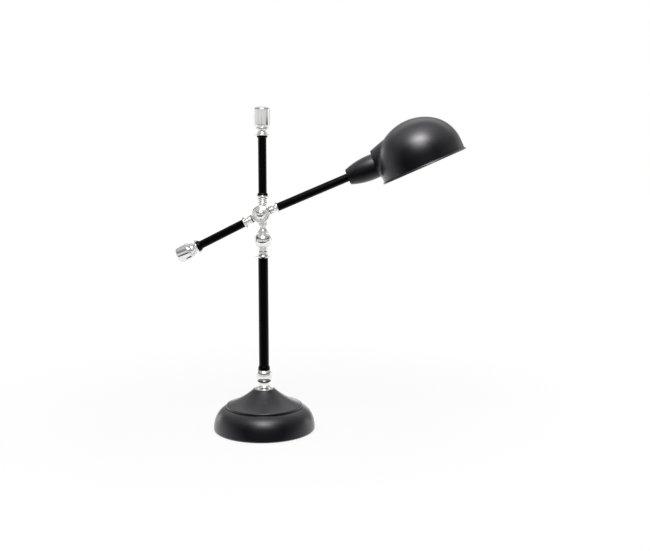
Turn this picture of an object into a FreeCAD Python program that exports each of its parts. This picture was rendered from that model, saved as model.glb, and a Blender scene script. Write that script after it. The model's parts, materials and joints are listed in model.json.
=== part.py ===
import FreeCAD, Part
import math
import os

# Counterweight balance desk lamp, in millimetres. The origin lies under the post, on the face
# that the lamp rests on. +Z is up the post, +X is the way that the front arm reaches, and the
# arm swings in a plane just in front of the post, on its -Y side.

V = FreeCAD.Vector
UP = V(0, 0, 1)
ORIGIN = V(0, 0, 0)

# ---------------------------------------------------------------- fits
FIT_GAP = 0.05  # radial gap of a fixed spigot, collar or stub in its seat
RUN_GAP = 0.08  # radial gap of a turning shaft in its bore
EDGE = 0.5  # rounding of a turned edge
LEAD_BORE = 2.5  # radius of the way for the lead through the turned fittings
CORNER_TRIM = 0.995  # share of a nut's corner that its rounding leaves
QUARTER_RISE = 1 - math.cos(math.pi / 4)  # rise of a quarter round, as a share of its radius

# ---------------------------------------------------------------- base
BASE_RADIUS = 82.8
BASE_HEIGHT = 68.0
BASE_WALL = 1.2
BASE_TOP_RADIUS = 18.0
LOWER_TIER_HEIGHT = 38.6
UPPER_TIER_RADIUS = 62.5
UPPER_TIER_EDGE = 3.9  # height of the rounded edge over the groove
UPPER_TIER_ROUND = 2.0  # radius of that edge
BELL_HOLLOW = 2.6  # how far the bell curve of the upper tier sinks below a straight cone
GROOVE_DEPTH = 1.2
GROOVE_WIDTH = 1.1
GROOVE_LEDGE = 0.5  # how far outside the upper tier the lower one starts
TIER_TOP_PULL = V(12.6, 0, -4.4)  # the way that the lower tier leaves the groove
TIER_SIDE_PULL = 16.0  # the upright stretch of the lower tier over its bottom edge
BOTTOM_EDGE_HEIGHT = 4.0
BOTTOM_EDGE_STEP = 3.5  # how far the bottom edge lies inside the widest part
BOTTOM_EDGE_BULGE = 1.0
GROUND_GAP = 0.8  # the shell stands this much clear of the ground, on its pad
PAD_THICKNESS = 2.0
PAD_GAP = 2.1  # between the pad and the shell's bottom edge
BALLAST_GAP = 1.6  # between the ballast and the shell's bottom edge
BALLAST_EDGE = 1.5  # rounding of the plate's rims
BALLAST_THICKNESS = 13.0
BALLAST_COLUMN_RADIUS = 14.5
NUT_RECESS_RADIUS = 13.0
NUT_RECESS_DEPTH = 12.0
CHANNEL_WIDTH = 9.0
CHANNEL_DEPTH = 9.0
INLET_HEIGHT = 11.5
INLET_BORE_RADIUS = 3.5
INLET_HOLE_RADIUS = 5.0
INLET_FLANGE_RADIUS = 6.8
INLET_FLANGE = 1.6
INLET_SLOPE = 1.2  # how far the outer flange narrows
INLET_BULGE = 0.35
NOTCH_RADIUS = 11.0

# ---------------------------------------------------------------- swivel at the foot of the post
STEM_RADIUS = 4.0
STEM_HOLE_GAP = 0.3
STEM_BELOW_NUT = 1.5
STEM_OVER_NUT = 1.0
BASE_WASHER_RADIUS = 11.0
BASE_WASHER = 1.5
BASE_NUT_FLATS = 14.0
BASE_NUT_HEIGHT = 6.0
FLANGE_RADIUS = 15.3
FLANGE_HEIGHT = 12.4
FLANGE_RIM = 1.5
FLANGE_NECK_RADIUS = 8.1
FLANGE_NECK_START = 6.0
FLANGE_SWEEP = 1.0  # how far the sweep over the rim sinks below a straight cone
FLANGE_RING_RADIUS = 8.8
FLANGE_RING = 1.8
SWIVEL_WASHER_RADIUS = 10.9
SWIVEL_WASHER = 1.8
SWIVEL_WASHER_EDGE = 0.6
RING_NUT_RADIUS = 6.2
RING_NUT = 5.0
RING_NUT_SLOT = 1.6
RING_NUT_SLOT_DEPTH = 2.0

# ---------------------------------------------------------------- post
BASE_BALL_RADIUS = 13.0
BASE_BALL_HEIGHT = 17.2
BASE_BALL_FOOT = 8.0  # from the ball's foot up to its middle
SPIGOT = 8.0  # length of the spigots in the tubes
LOWER_TUBE_RADIUS = 8.1
LOWER_TUBE_LENGTH = 184.2
TUBE_WALL = 1.2
LOWER_COLLAR_RADIUS = 9.7
LOWER_COLLAR = 7.0
SAUCER_RADIUS = 14.6
SAUCER_DEPTH = 3.2
SAUCER_EDGE = 0.9
SAUCER_FOOT_RADIUS = 9.0
SAUCER_BEAD_RADIUS = 8.1
SAUCER_BEAD = 0.8  # how far the bead bulges
SAUCER_SWEEP = 0.7
SAUCER_HEIGHT = 11.3
STUB_RADIUS = 4.0
STUB = 5.0
POST_BALL_RADIUS = 14.1
POST_BALL_FOOT = 16.1  # from the fitting's foot up to the middle of the ball
POST_BALL_HEIGHT = 28.1
POST_BALL_BAND = 9.2
POST_BALL_STEP = 2.3  # width of the step between the band and the ball
POST_BALL_BAND_HEIGHT = 1.8
POST_BALL_NECK = 7.3
POST_BALL_RING = 0.7
NECK_FLARE_RADIUS = 9.6
NECK_WAIST_RADIUS = 5.4
NECK_COLLAR_RADIUS = 7.1
NECK_HEIGHT = 17.7
NECK_WAIST_HEIGHT = 10.0
NECK_COLLAR = 5.6
NECK_RINGS = 3
NECK_SWEEP = 1.2
RING_RISE = 0.4  # how far a turned ring bulges

# ---------------------------------------------------------------- knuckle
POST_HUB_RADIUS = 12.6
POST_HUB_REACH = 13.3  # from the cross screw to the seats of the two necks
POST_HUB_FRONT = 7.0  # from the axis of the post to the front face of its hub
POST_HUB_BACK = 8.0
FRICTION_WASHER_RADIUS = 11.8
FRICTION_WASHER = 1.0
ARM_HUB_RADIUS = 14.6
ARM_HUB = 12.0
ARM_HUB_ROUND = 2.6  # height of the rounding of the front
ARM_HUB_REACH = 15.0  # from the cross screw to the seats of the two washers
ARM_BOSS_RADIUS = 5.8
SCREW_RADIUS = 3.0
SCREW_IN_CAP = 5.0
SCREW_IN_NUT = 8.5
CAP_FLANGE_RADIUS = 11.0
CAP_FLANGE = 1.6
CAP_DOME_RADIUS = 8.4
CAP_DOME = 5.6
DOME_PULL = 0.58  # fullness of a domed nut, as a share of its radius and height
SPRING_WASHER_RADIUS = 8.5
SPRING_WASHER = 1.2
ACORN_FLATS = 13.0
ACORN_HEX = 6.0
ACORN_DOME = 5.0

# ---------------------------------------------------------------- upper post
UPPER_NECK_RADIUS = 7.2
UPPER_NECK_HEIGHT = 15.7
UPPER_NECK_RING_RADIUS = 7.9
UPPER_NECK_RINGS = 4
UPPER_FLARE = 2.4  # height of the flare under the flange
UPPER_FLANGE_RADIUS = 10.1
UPPER_FLANGE = 2.0
UPPER_TUBE_RADIUS = 6.7
UPPER_TUBE_LENGTH = 94.7
COLLAR_RADIUS = 8.6
COLLAR_ROLL = 1.0  # rounding at the wide end of a ferrule
COLLAR_EDGE = 0.4  # thickness of its thin end
COLLAR_BULGE = 0.45
UPPER_COLLAR_LOW = 4.2
UPPER_COLLAR_HIGH = 3.7

# ---------------------------------------------------------------- finials
FINIAL_FLANGE_RADIUS = 11.4
FINIAL_FLANGE = 1.9
FINIAL_BEAD_RADIUS = 8.2
FINIAL_BEAD = 2.8
FINIAL_NECK_RADIUS = 7.3
FINIAL_NECK = 3.9
FINIAL_RING_RADIUS = 10.2
FINIAL_RING = 5.2
BARREL_RADIUS = 13.0
BARREL_FOOT_RADIUS = 11.6
BARREL_FOOT = 2.6
BARREL_TOP_RADIUS = 12.3
BARREL_SHOULDER = 5.2
BARREL_FLAT_RADIUS = 6.6
BARREL_SWELL = 0.4  # how far the side of the barrel swells
BARREL_CROWN = 0.3  # rise of its nearly flat end
FINIAL_BULGE = 0.75  # how far the bead and the ring bulge
TOP_BARREL = 31.3
REAR_BARREL = 24.6

# ---------------------------------------------------------------- arm
FRONT_SLOPE = 23.0  # degrees that the front tube rises
REAR_SLOPE = 26.75  # degrees that the rear tube falls
ARM_TUBE_RADIUS = 6.5
SEAT_WASHER_RADIUS = 6.2
SEAT_WASHER = 1.4
SEAT_WASHER_EDGE = 0.3
CONNECTOR_FOOT_RADIUS = 7.3
CONNECTOR_FOOT = 1.0
CONNECTOR_BEAD_RADIUS = 6.5
CONNECTOR_BEAD = 4.8
CONNECTOR_DIP_RADIUS = 4.9
CONNECTOR_DIP = 1.2
CONNECTOR_FLANGE_RADIUS = 9.3
CONNECTOR_FLARE = 4.4
CONNECTOR_SWEEP = 0.9
CONNECTOR_FLANGE = 2.2
FRONT_TUBE_LENGTH = 134.0
REAR_TUBE_LENGTH = 84.7
REAR_COLLAR = 4.6

# ---------------------------------------------------------------- head
COVER_OVERLAP = 13.8  # how far the socket cover reaches back over the front tube
COVER_LENGTH = 46.8
COVER_NARROW_RADIUS = 12.4
COVER_WIDE_RADIUS = 19.2
COVER_BULGE = 2.5
COVER_WALL = 1.4
COVER_PLATE = 1.6
HOLDER_BASE_RADIUS = 11.0
HOLDER_SHOULDER_RADIUS = 13.5
HOLDER_SHOULDER = 8.0
HOLDER_RADIUS = 15.5
HOLDER_BODY_START = 16.0  # from the holder's base to its full width
HOLDER_FLANGE_RADIUS = 17.0
HOLDER_FLANGE = 2.5
HOLDER_FLOOR = 6.0
HOLDER_POCKET_RADIUS = 9.0
HOLDER_SOCKET_DEPTH = 29.0
HOLDER_BORE_RADIUS = 14.0
HOLDER_NECK = 8.4  # how far the holder reaches through the shade's plate
NIPPLE_LENGTH = 24.0
NIPPLE_OUT = 10.0
NIPPLE_BORE = 3.0
NIPPLE_NUT_RADIUS = 8.0
NIPPLE_NUT = 3.0
BLOCK_THICKNESS = 4.0
SCREW_SHELL_RADIUS = 13.85
SCREW_SHELL_WALL = 0.5
SCREW_SHELL_LENGTH = 21.0
CONTACT_LENGTH = 12.0
CONTACT_WIDTH = 5.0
CONTACT_THICKNESS = 0.6
CONTACT_RISE = 1.9
CONTACT_KNEE = 3.6  # length of the strip's raised end
CONTACT_LEAN = 0.6  # how far its upper bends stand back from the lower ones
BULB_CAP_RADIUS = 13.1
BULB_CAP_LENGTH = 21.0
BULB_TIP_RADIUS = 4.8
BULB_TIP = 3.0
BULB_TIP_FLAT = 2.9  # radius of the solder's flat end
BULB_TIP_EDGE = 1.0
BULB_TIP_BULGE = 0.2
BULB_CAP_SLOPE = 2.5  # how far the cap narrows towards its tip
BULB_CAP_EDGE = 1.5
BULB_NECK_RADIUS = 12.6
BULB_RADIUS = 22.5
BULB_NECK = 4.0
GLASS_WALL = 0.8

# ---------------------------------------------------------------- shade
SHADE_WALL = 1.0
SHADE_RADIUS = 66.9
SHADE_HEIGHT = 79.0
CROWN_RADIUS = 75.0
SHOULDER_RADIUS = 58.0
SHADE_REACH = 68.4  # from the shade's plate to the middle of its opening, along the arm
SHADE_DROP = 33.9  # from the axis of the front tube down to the opening
SHADE_TILT = 0.9  # degrees that the opening rises over the line of the front tube
SHADE_NECK_RADIUS = 21.6
SHADE_NECK_RISE = 2.4  # the neck's middle stands this much over the axis of the front tube
SHADE_NECK_ANGLE = 17.5
SHADE_NECK_LENGTH = 36.0
SHADE_BLEND = 12.0
LIP_REACH = 4.0
LIP_BEAD = 1.65
LIP_TURN = 2.4
LIP_SWEEP = 0.6
RING_RADIUS = 17.4
RING_THICKNESS = 5.2

# ---------------------------------------------------------------- places worked out from the sizes
BOTTOM_EDGE_RADIUS = BASE_RADIUS - BOTTOM_EDGE_STEP
BALLAST_RADIUS = BOTTOM_EDGE_RADIUS - BASE_WALL - BALLAST_GAP
PAD_RADIUS = BOTTOM_EDGE_RADIUS - BASE_WALL - PAD_GAP
FLANGE_Z = BASE_HEIGHT
WASHER_Z = FLANGE_Z + FLANGE_HEIGHT
BALL_Z = WASHER_Z + SWIVEL_WASHER
LOWER_TUBE_Z = BALL_Z + BASE_BALL_HEIGHT
SAUCER_Z = LOWER_TUBE_Z + LOWER_TUBE_LENGTH
POST_BALL_Z = SAUCER_Z + SAUCER_HEIGHT
NECK_Z = POST_BALL_Z + POST_BALL_HEIGHT
PIVOT_Z = NECK_Z + NECK_HEIGHT + POST_HUB_REACH
UPPER_NECK_Z = PIVOT_Z + POST_HUB_REACH
UPPER_TUBE_Z = UPPER_NECK_Z + UPPER_NECK_HEIGHT
TOP_FINIAL_Z = UPPER_TUBE_Z + UPPER_TUBE_LENGTH
ARM_HUB_BACK = POST_HUB_FRONT + FRICTION_WASHER
ARM_OFFSET = ARM_HUB_BACK + ARM_HUB / 2
CONNECTOR_LENGTH = (
    CONNECTOR_FOOT + CONNECTOR_BEAD + CONNECTOR_DIP + CONNECTOR_FLARE + CONNECTOR_FLANGE
)
CONNECTOR_START = ARM_HUB_REACH + SEAT_WASHER
TUBE_START = CONNECTOR_START + CONNECTOR_LENGTH
HOLDER_START = TUBE_START + FRONT_TUBE_LENGTH
COVER_START = HOLDER_START - COVER_OVERLAP
PLATE_START = COVER_START + COVER_LENGTH
SHADE_CENTRE = PLATE_START + SHADE_REACH
BLOCK_START = PLATE_START + HOLDER_NECK - HOLDER_SOCKET_DEPTH
SHELL_START = BLOCK_START + BLOCK_THICKNESS
CONTACT_TOP = SHELL_START + CONTACT_RISE
REAR_FINIAL_START = TUBE_START + REAR_TUBE_LENGTH

PIVOT = V(0, -ARM_OFFSET, PIVOT_Z)
RISE = math.radians(FRONT_SLOPE)
FORWARD = V(math.cos(RISE), 0, math.sin(RISE))
DOWNWARD = V(math.sin(RISE), 0, -math.cos(RISE))

# Each frame carries a piece that is built along +Z, or the shade, to its place.
FRONT_LINE = FreeCAD.Placement(PIVOT, FreeCAD.Rotation(V(0, 1, 0), 90 - FRONT_SLOPE))
REAR_LINE = FreeCAD.Placement(PIVOT, FreeCAD.Rotation(V(0, 1, 0), -90 - REAR_SLOPE))
SHADE_PLACE = FreeCAD.Placement(
    PIVOT + FORWARD * SHADE_CENTRE + DOWNWARD * SHADE_DROP,
    FreeCAD.Rotation(V(0, 1, 0), -FRONT_SLOPE),
)
CROSS_LINE = FreeCAD.Placement(V(0, 0, PIVOT_Z), FreeCAD.Rotation(V(1, 0, 0), 90))
BACK_LINE = FreeCAD.Placement(V(0, 0, PIVOT_Z), FreeCAD.Rotation(V(1, 0, 0), -90))
INLET_LINE = FreeCAD.Placement(V(0, 0, INLET_HEIGHT), FreeCAD.Rotation(V(1, 0, 0), -90))


class Outline:
    """A closed outline of a turned piece, drawn in the plane of radius and height."""

    def __init__(self, radius, height):
        self.start = V(radius, 0, height)
        self.here = self.start
        self.edges = []

    def to(self, radius, height):
        """A straight line."""
        there = V(radius, 0, height)
        self.edges.append(Part.makeLine(self.here, there))
        self.here = there
        return self

    def bow(self, radius, height, rise):
        """An arc whose middle stands off its chord, to the left of its way if rise is positive."""
        there = V(radius, 0, height)
        chord = there - self.here
        left = V(-chord.z, 0, chord.x).normalize()
        middle = (self.here + there) * 0.5 + left * rise
        self.edges.append(Part.Arc(self.here, middle, there).toShape())
        self.here = there
        return self

    def turn(self, radius, height):
        """A quarter round that bulges to the right of its way."""
        return self.bow(radius, height, -QUARTER_RISE * abs(radius - self.here.x))

    def through(self, middle, end):
        """An arc to the end through a point on its way, each given as radius and height."""
        there = V(end[0], 0, end[1])
        self.edges.append(Part.Arc(self.here, V(middle[0], 0, middle[1]), there).toShape())
        self.here = there
        return self

    def bend(self, near_start, near_end, radius, height):
        """A smooth curve that leaves towards near_start and comes in from near_end."""
        there = V(radius, 0, height)
        curve = Part.BezierCurve()
        curve.setPoles([self.here, self.here + near_start, there + near_end, there])
        self.edges.append(curve.toShape())
        self.here = there
        return self

    def spin(self):
        """The solid that the closed outline sweeps about the Z axis."""
        edges = list(self.edges)
        if self.here.distanceToPoint(self.start) > 1e-6:
            edges.append(Part.makeLine(self.here, self.start))
        return outward(Part.Face(Part.Wire(edges)).revolve(ORIGIN, UP, 360))


def outward(solid):
    """The same solid with its faces outward."""
    if solid.Volume < 0:
        solid.reverse()
    return solid


def one_solid(shape):
    """The single solid of a shape, with its split faces joined again."""
    return shape.removeSplitter().Solids[0]


def rod(radius, start, end):
    """A plain round rod on the Z axis."""
    return Part.makeCylinder(radius, end - start, V(0, 0, start))


def tube(outer, inner, start, end):
    """A plain round tube on the Z axis."""
    return rod(outer, start, end).cut(rod(inner, start - 1, end + 1))


def round_bar(radius, start, end, edge=EDGE):
    """A round bar on the Z axis with its two rims rounded."""
    outline = Outline(0, start).to(radius - edge, start)
    outline.turn(radius, start + edge).to(radius, end - edge).turn(radius - edge, end)
    return outline.to(0, end).spin()


def hexagon(flats, start, end):
    """A hexagonal bar on the Z axis, with its corners and rims rounded as a nut's are."""
    corner = flats / math.sqrt(3)
    turns = [math.radians(60 * step) for step in range(6)]
    points = [V(corner * math.cos(turn), corner * math.sin(turn), start) for turn in turns]
    bar = Part.Face(Part.makePolygon(points + points[:1])).extrude(V(0, 0, end - start))
    return bar.common(round_bar(corner * CORNER_TRIM, start, end, corner - flats / 2))


def lifted(solid, height):
    """The piece moved up the post to its height."""
    return solid.translated(V(0, 0, height))


def placed(solid, frame):
    """The piece carried to the line that it is built for."""
    return solid.transformed(frame.toMatrix(), True)


# ---------------------------------------------------------------- base
def bell_curve(outline, inset, side):
    """The upper tier from its flat top down its hollow bell to its rounded side."""
    edge_start = LOWER_TIER_HEIGHT + UPPER_TIER_EDGE - inset
    outline.to(BASE_TOP_RADIUS - EDGE - inset, BASE_HEIGHT - inset)
    outline.bow(BASE_TOP_RADIUS - inset, BASE_HEIGHT - EDGE - inset, QUARTER_RISE * EDGE)
    outline.bow(side - UPPER_TIER_ROUND, edge_start, -BELL_HOLLOW)
    outline.bow(side, edge_start - UPPER_TIER_ROUND, QUARTER_RISE * UPPER_TIER_ROUND)
    return outline.to(side, LOWER_TIER_HEIGHT + GROOVE_WIDTH - inset)


def tier_curve(outline, inset):
    """The round side of the lower tier, from the groove down to the bottom edge."""
    side = V(0, 0, TIER_SIDE_PULL)
    return outline.bend(TIER_TOP_PULL, side, BASE_RADIUS - inset, BOTTOM_EDGE_HEIGHT)


def base_shell():
    """The spun steel shell with its two tiers, its stem hole and the hole for the inlet."""
    inside = UPPER_TIER_RADIUS - GROOVE_DEPTH - BASE_WALL
    outer = bell_curve(Outline(0, BASE_HEIGHT), 0, UPPER_TIER_RADIUS)
    outer.to(UPPER_TIER_RADIUS - GROOVE_DEPTH, LOWER_TIER_HEIGHT + GROOVE_WIDTH)
    outer.to(UPPER_TIER_RADIUS - GROOVE_DEPTH, LOWER_TIER_HEIGHT)
    outer.to(UPPER_TIER_RADIUS + GROOVE_LEDGE, LOWER_TIER_HEIGHT)
    tier_curve(outer, 0)
    outer.bow(BOTTOM_EDGE_RADIUS, GROUND_GAP, BOTTOM_EDGE_BULGE)
    outer.to(0, GROUND_GAP)
    cavity = bell_curve(Outline(0, BASE_HEIGHT - BASE_WALL), BASE_WALL, inside)
    cavity.to(inside, LOWER_TIER_HEIGHT - BASE_WALL)
    cavity.to(UPPER_TIER_RADIUS + GROOVE_LEDGE - BASE_WALL, LOWER_TIER_HEIGHT - BASE_WALL)
    tier_curve(cavity, BASE_WALL)
    cavity.bow(BOTTOM_EDGE_RADIUS - BASE_WALL, GROUND_GAP + BASE_WALL, BOTTOM_EDGE_BULGE / 2)
    cavity.to(BOTTOM_EDGE_RADIUS - BASE_WALL, -1).to(0, -1)
    hole = rod(STEM_RADIUS + STEM_HOLE_GAP, 0, BASE_HEIGHT + 1)
    inlet = placed(rod(INLET_HOLE_RADIUS, 0, BASE_RADIUS + 5), INLET_LINE)
    return outer.spin().cut(cavity.spin()).cut(hole).cut(inlet)


def shell_side(height, inset):
    """The radius of the lower tier's round side at a height, sunk in by inset."""
    top = Outline(UPPER_TIER_RADIUS + GROOVE_LEDGE - inset, LOWER_TIER_HEIGHT - inset)
    side = tier_curve(top, inset).edges[0]
    level = Part.makeLine(V(0, 0, height), V(2 * BASE_RADIUS, 0, height))
    return side.distToShape(level)[1][0][0].x


def ballast_weight():
    """The cast iron plate and column that weigh the base down and back up the shell's top."""
    plate_top = PAD_THICKNESS + BALLAST_THICKNESS
    column_top = BASE_HEIGHT - BASE_WALL
    plate = round_bar(BALLAST_RADIUS, PAD_THICKNESS, plate_top, BALLAST_EDGE)
    column = rod(BALLAST_COLUMN_RADIUS, plate_top - 1, column_top)
    recess = rod(NUT_RECESS_RADIUS, 0, PAD_THICKNESS + NUT_RECESS_DEPTH)
    hole = rod(STEM_RADIUS + STEM_HOLE_GAP, 0, BASE_HEIGHT)
    channel = Part.makeBox(
        CHANNEL_WIDTH,
        BALLAST_RADIUS + 1,
        CHANNEL_DEPTH,
        V(-CHANNEL_WIDTH / 2, 0, PAD_THICKNESS - 0.001),
    )
    notch = Part.makeCylinder(NOTCH_RADIUS, plate_top + 1, V(0, BALLAST_RADIUS, 0))
    return one_solid(plate.fuse(column)).cut(recess).cut(hole).cut(channel).cut(notch)


def base_pad():
    """The felt disc that the lamp rests on."""
    return rod(PAD_RADIUS, 0, PAD_THICKNESS)


def cord_grommet():
    """The bush that lines the inlet hole at the back of the base."""
    top = INLET_HEIGHT + INLET_FLANGE_RADIUS
    outside = BASE_RADIUS + FIT_GAP
    inside = shell_side(top, BASE_WALL) - FIT_GAP * 2
    bush = Outline(INLET_BORE_RADIUS, inside - INLET_FLANGE)
    bush.to(INLET_FLANGE_RADIUS, inside - INLET_FLANGE)
    bush.to(INLET_FLANGE_RADIUS, inside)
    bush.to(INLET_HOLE_RADIUS - FIT_GAP, inside)
    bush.to(INLET_HOLE_RADIUS - FIT_GAP, outside)
    bush.to(INLET_FLANGE_RADIUS, outside)
    bush.bow(INLET_FLANGE_RADIUS - INLET_SLOPE, outside + INLET_FLANGE, -INLET_BULGE)
    bush.to(INLET_BORE_RADIUS, outside + INLET_FLANGE)
    return placed(bush.spin(), INLET_LINE)


def base_washer():
    """The washer that spreads the nut's load in the ballast's recess."""
    seat = PAD_THICKNESS + NUT_RECESS_DEPTH
    return tube(BASE_WASHER_RADIUS, STEM_RADIUS + STEM_HOLE_GAP, seat - BASE_WASHER, seat)


def base_nut():
    """The nut that draws the stem down and clamps foot, shell and ballast together."""
    top = PAD_THICKNESS + NUT_RECESS_DEPTH - BASE_WASHER
    nut = hexagon(BASE_NUT_FLATS, top - BASE_NUT_HEIGHT, top)
    return nut.cut(rod(STEM_RADIUS + FIT_GAP, 0, top + 1))


# ---------------------------------------------------------------- swivel at the foot of the post
def swivel_stem():
    """The hollow threaded stem that the post turns on."""
    bottom = PAD_THICKNESS + NUT_RECESS_DEPTH - BASE_WASHER - BASE_NUT_HEIGHT - STEM_BELOW_NUT
    top = LOWER_TUBE_Z + SPIGOT + RING_NUT + STEM_OVER_NUT
    return tube(STEM_RADIUS, LEAD_BORE, bottom, top)


def base_flange():
    """The chrome foot: a wide rim that sweeps up into a short ringed neck."""
    foot = Outline(STEM_RADIUS + FIT_GAP, 0)
    foot.to(FLANGE_RADIUS - EDGE, 0).turn(FLANGE_RADIUS, EDGE)
    foot.to(FLANGE_RADIUS, FLANGE_RIM - EDGE).turn(FLANGE_RADIUS - EDGE, FLANGE_RIM)
    foot.bow(FLANGE_NECK_RADIUS, FLANGE_NECK_START, FLANGE_SWEEP)
    ring_start = FLANGE_HEIGHT - FLANGE_RING - EDGE
    foot.to(FLANGE_NECK_RADIUS, ring_start)
    foot.bow(FLANGE_NECK_RADIUS, ring_start + FLANGE_RING, FLANGE_NECK_RADIUS - FLANGE_RING_RADIUS)
    foot.to(FLANGE_NECK_RADIUS, FLANGE_HEIGHT).to(STEM_RADIUS + FIT_GAP, FLANGE_HEIGHT)
    return lifted(foot.spin(), FLANGE_Z)


def swivel_washer():
    """The black washer on which the post turns over the foot."""
    washer = round_bar(SWIVEL_WASHER_RADIUS, WASHER_Z, BALL_Z, SWIVEL_WASHER_EDGE)
    return washer.cut(rod(STEM_RADIUS + RUN_GAP, WASHER_Z - 1, BALL_Z + 1))


def stem_ring_nut():
    """The slotted round nut that holds the post down on the stem, inside the lower tube."""
    start = LOWER_TUBE_Z + SPIGOT
    nut = tube(RING_NUT_RADIUS, STEM_RADIUS + FIT_GAP, start, start + RING_NUT)
    slot = Part.makeBox(
        2 * RING_NUT_RADIUS + 2,
        RING_NUT_SLOT,
        RING_NUT_SLOT_DEPTH + 1,
        V(-RING_NUT_RADIUS - 1, -RING_NUT_SLOT / 2, start + RING_NUT - RING_NUT_SLOT_DEPTH),
    )
    return nut.cut(slot)


# ---------------------------------------------------------------- post
def ball_radius_at(ball_radius, height):
    """The radius of a ball's section at a height from its middle."""
    return math.sqrt(ball_radius**2 - height**2)


def base_ball():
    """The chrome ball over the swivel, with a spigot up into the lower tube."""
    bore = STEM_RADIUS + RUN_GAP
    spigot = LOWER_TUBE_RADIUS - TUBE_WALL - FIT_GAP
    top = BASE_BALL_HEIGHT
    ball = Outline(bore, 0).to(ball_radius_at(BASE_BALL_RADIUS, BASE_BALL_FOOT), 0)
    rim = ball_radius_at(BASE_BALL_RADIUS, top - BASE_BALL_FOOT)
    ball.through((BASE_BALL_RADIUS, BASE_BALL_FOOT), (rim, top))
    ball.to(spigot, top).to(spigot, top + SPIGOT).to(bore, top + SPIGOT)
    return lifted(ball.spin(), BALL_Z)


def collar(bore_radius, outer_radius, start, end):
    """A black ferrule with a rolled outside, pressed over the end of a tube."""
    ring = Outline(bore_radius + FIT_GAP, start)
    ring.to(outer_radius - COLLAR_ROLL, start)
    ring.bow(outer_radius, start + COLLAR_ROLL, -QUARTER_RISE * COLLAR_ROLL)
    ring.bow(bore_radius + COLLAR_EDGE, end, -COLLAR_BULGE)
    return ring.to(bore_radius + FIT_GAP, end).spin()


def lower_collar():
    """The ferrule at the foot of the lower tube."""
    end = LOWER_TUBE_Z + LOWER_COLLAR
    return collar(LOWER_TUBE_RADIUS, LOWER_COLLAR_RADIUS, LOWER_TUBE_Z, end)


def lower_tube():
    """The black tube from the base ball up to the saucer."""
    return tube(LOWER_TUBE_RADIUS, LOWER_TUBE_RADIUS - TUBE_WALL, LOWER_TUBE_Z, SAUCER_Z)


def saucer_flange():
    """The chrome saucer on top of the lower tube, with the bead that it carries."""
    spigot = LOWER_TUBE_RADIUS - TUBE_WALL - FIT_GAP
    saucer = Outline(LEAD_BORE, -SPIGOT).to(spigot, -SPIGOT).to(spigot, 0)
    saucer.to(SAUCER_FOOT_RADIUS, 0)
    saucer.bow(SAUCER_RADIUS, SAUCER_DEPTH - SAUCER_EDGE, SAUCER_SWEEP)
    saucer.bow(SAUCER_RADIUS, SAUCER_DEPTH, -SAUCER_EDGE / 3)
    saucer.to(SAUCER_BEAD_RADIUS - SAUCER_BEAD, SAUCER_DEPTH)
    saucer.bow(SAUCER_BEAD_RADIUS - SAUCER_BEAD, SAUCER_HEIGHT, -SAUCER_BEAD)
    saucer.to(STUB_RADIUS + FIT_GAP, SAUCER_HEIGHT)
    saucer.to(STUB_RADIUS + FIT_GAP, SAUCER_HEIGHT - STUB - EDGE)
    saucer.to(LEAD_BORE, SAUCER_HEIGHT - STUB - EDGE)
    return lifted(saucer.spin(), SAUCER_Z)


def post_ball():
    """The large chrome ball with the neck and band under it."""
    rim = POST_BALL_BAND + POST_BALL_STEP
    band_top = POST_BALL_FOOT - ball_radius_at(POST_BALL_RADIUS, rim)
    band_start = band_top - POST_BALL_BAND_HEIGHT
    top = POST_BALL_FOOT + ball_radius_at(POST_BALL_RADIUS, POST_BALL_BAND)
    ring = POST_BALL_NECK + POST_BALL_RING
    ball = Outline(LEAD_BORE, -STUB).to(STUB_RADIUS, -STUB).to(STUB_RADIUS, 0)
    ball.to(POST_BALL_NECK, 0).to(POST_BALL_NECK, band_start / 2)
    ball.bow(ring, band_start / 2 + POST_BALL_RING, -QUARTER_RISE * POST_BALL_RING)
    ball.to(ring, band_start).to(POST_BALL_BAND, band_start)
    ball.bow(POST_BALL_BAND, band_top, -POST_BALL_BAND_HEIGHT / 4)
    ball.to(rim, band_top)
    ball.through((POST_BALL_RADIUS, POST_BALL_FOOT), (POST_BALL_BAND, top))
    ball.to(POST_BALL_NECK, top).to(POST_BALL_NECK, POST_BALL_HEIGHT)
    ball.to(STUB_RADIUS + FIT_GAP, POST_BALL_HEIGHT)
    ball.to(STUB_RADIUS + FIT_GAP, POST_BALL_HEIGHT - STUB - EDGE)
    ball.to(LEAD_BORE, POST_BALL_HEIGHT - STUB - EDGE)
    return lifted(ball.spin(), POST_BALL_Z)


def post_neck():
    """The chrome neck under the knuckle: a bell flare, a narrow waist and a ringed collar."""
    collar_start = NECK_HEIGHT - NECK_COLLAR
    neck = Outline(LEAD_BORE, -STUB).to(STUB_RADIUS, -STUB).to(STUB_RADIUS, 0)
    neck.to(NECK_FLARE_RADIUS - 2 * EDGE, 0).turn(NECK_FLARE_RADIUS, 2 * EDGE)
    neck.bow(NECK_WAIST_RADIUS, NECK_WAIST_HEIGHT, NECK_SWEEP)
    neck.bow(NECK_COLLAR_RADIUS, collar_start, RING_RISE)
    ring = NECK_COLLAR / NECK_RINGS
    for step in range(NECK_RINGS):
        neck.bow(NECK_COLLAR_RADIUS, collar_start + ring * (step + 1), -RING_RISE)
    neck.to(STUB_RADIUS, NECK_HEIGHT).to(STUB_RADIUS, NECK_HEIGHT + STUB)
    neck.to(LEAD_BORE, NECK_HEIGHT + STUB)
    return lifted(neck.spin(), NECK_Z)


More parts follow.
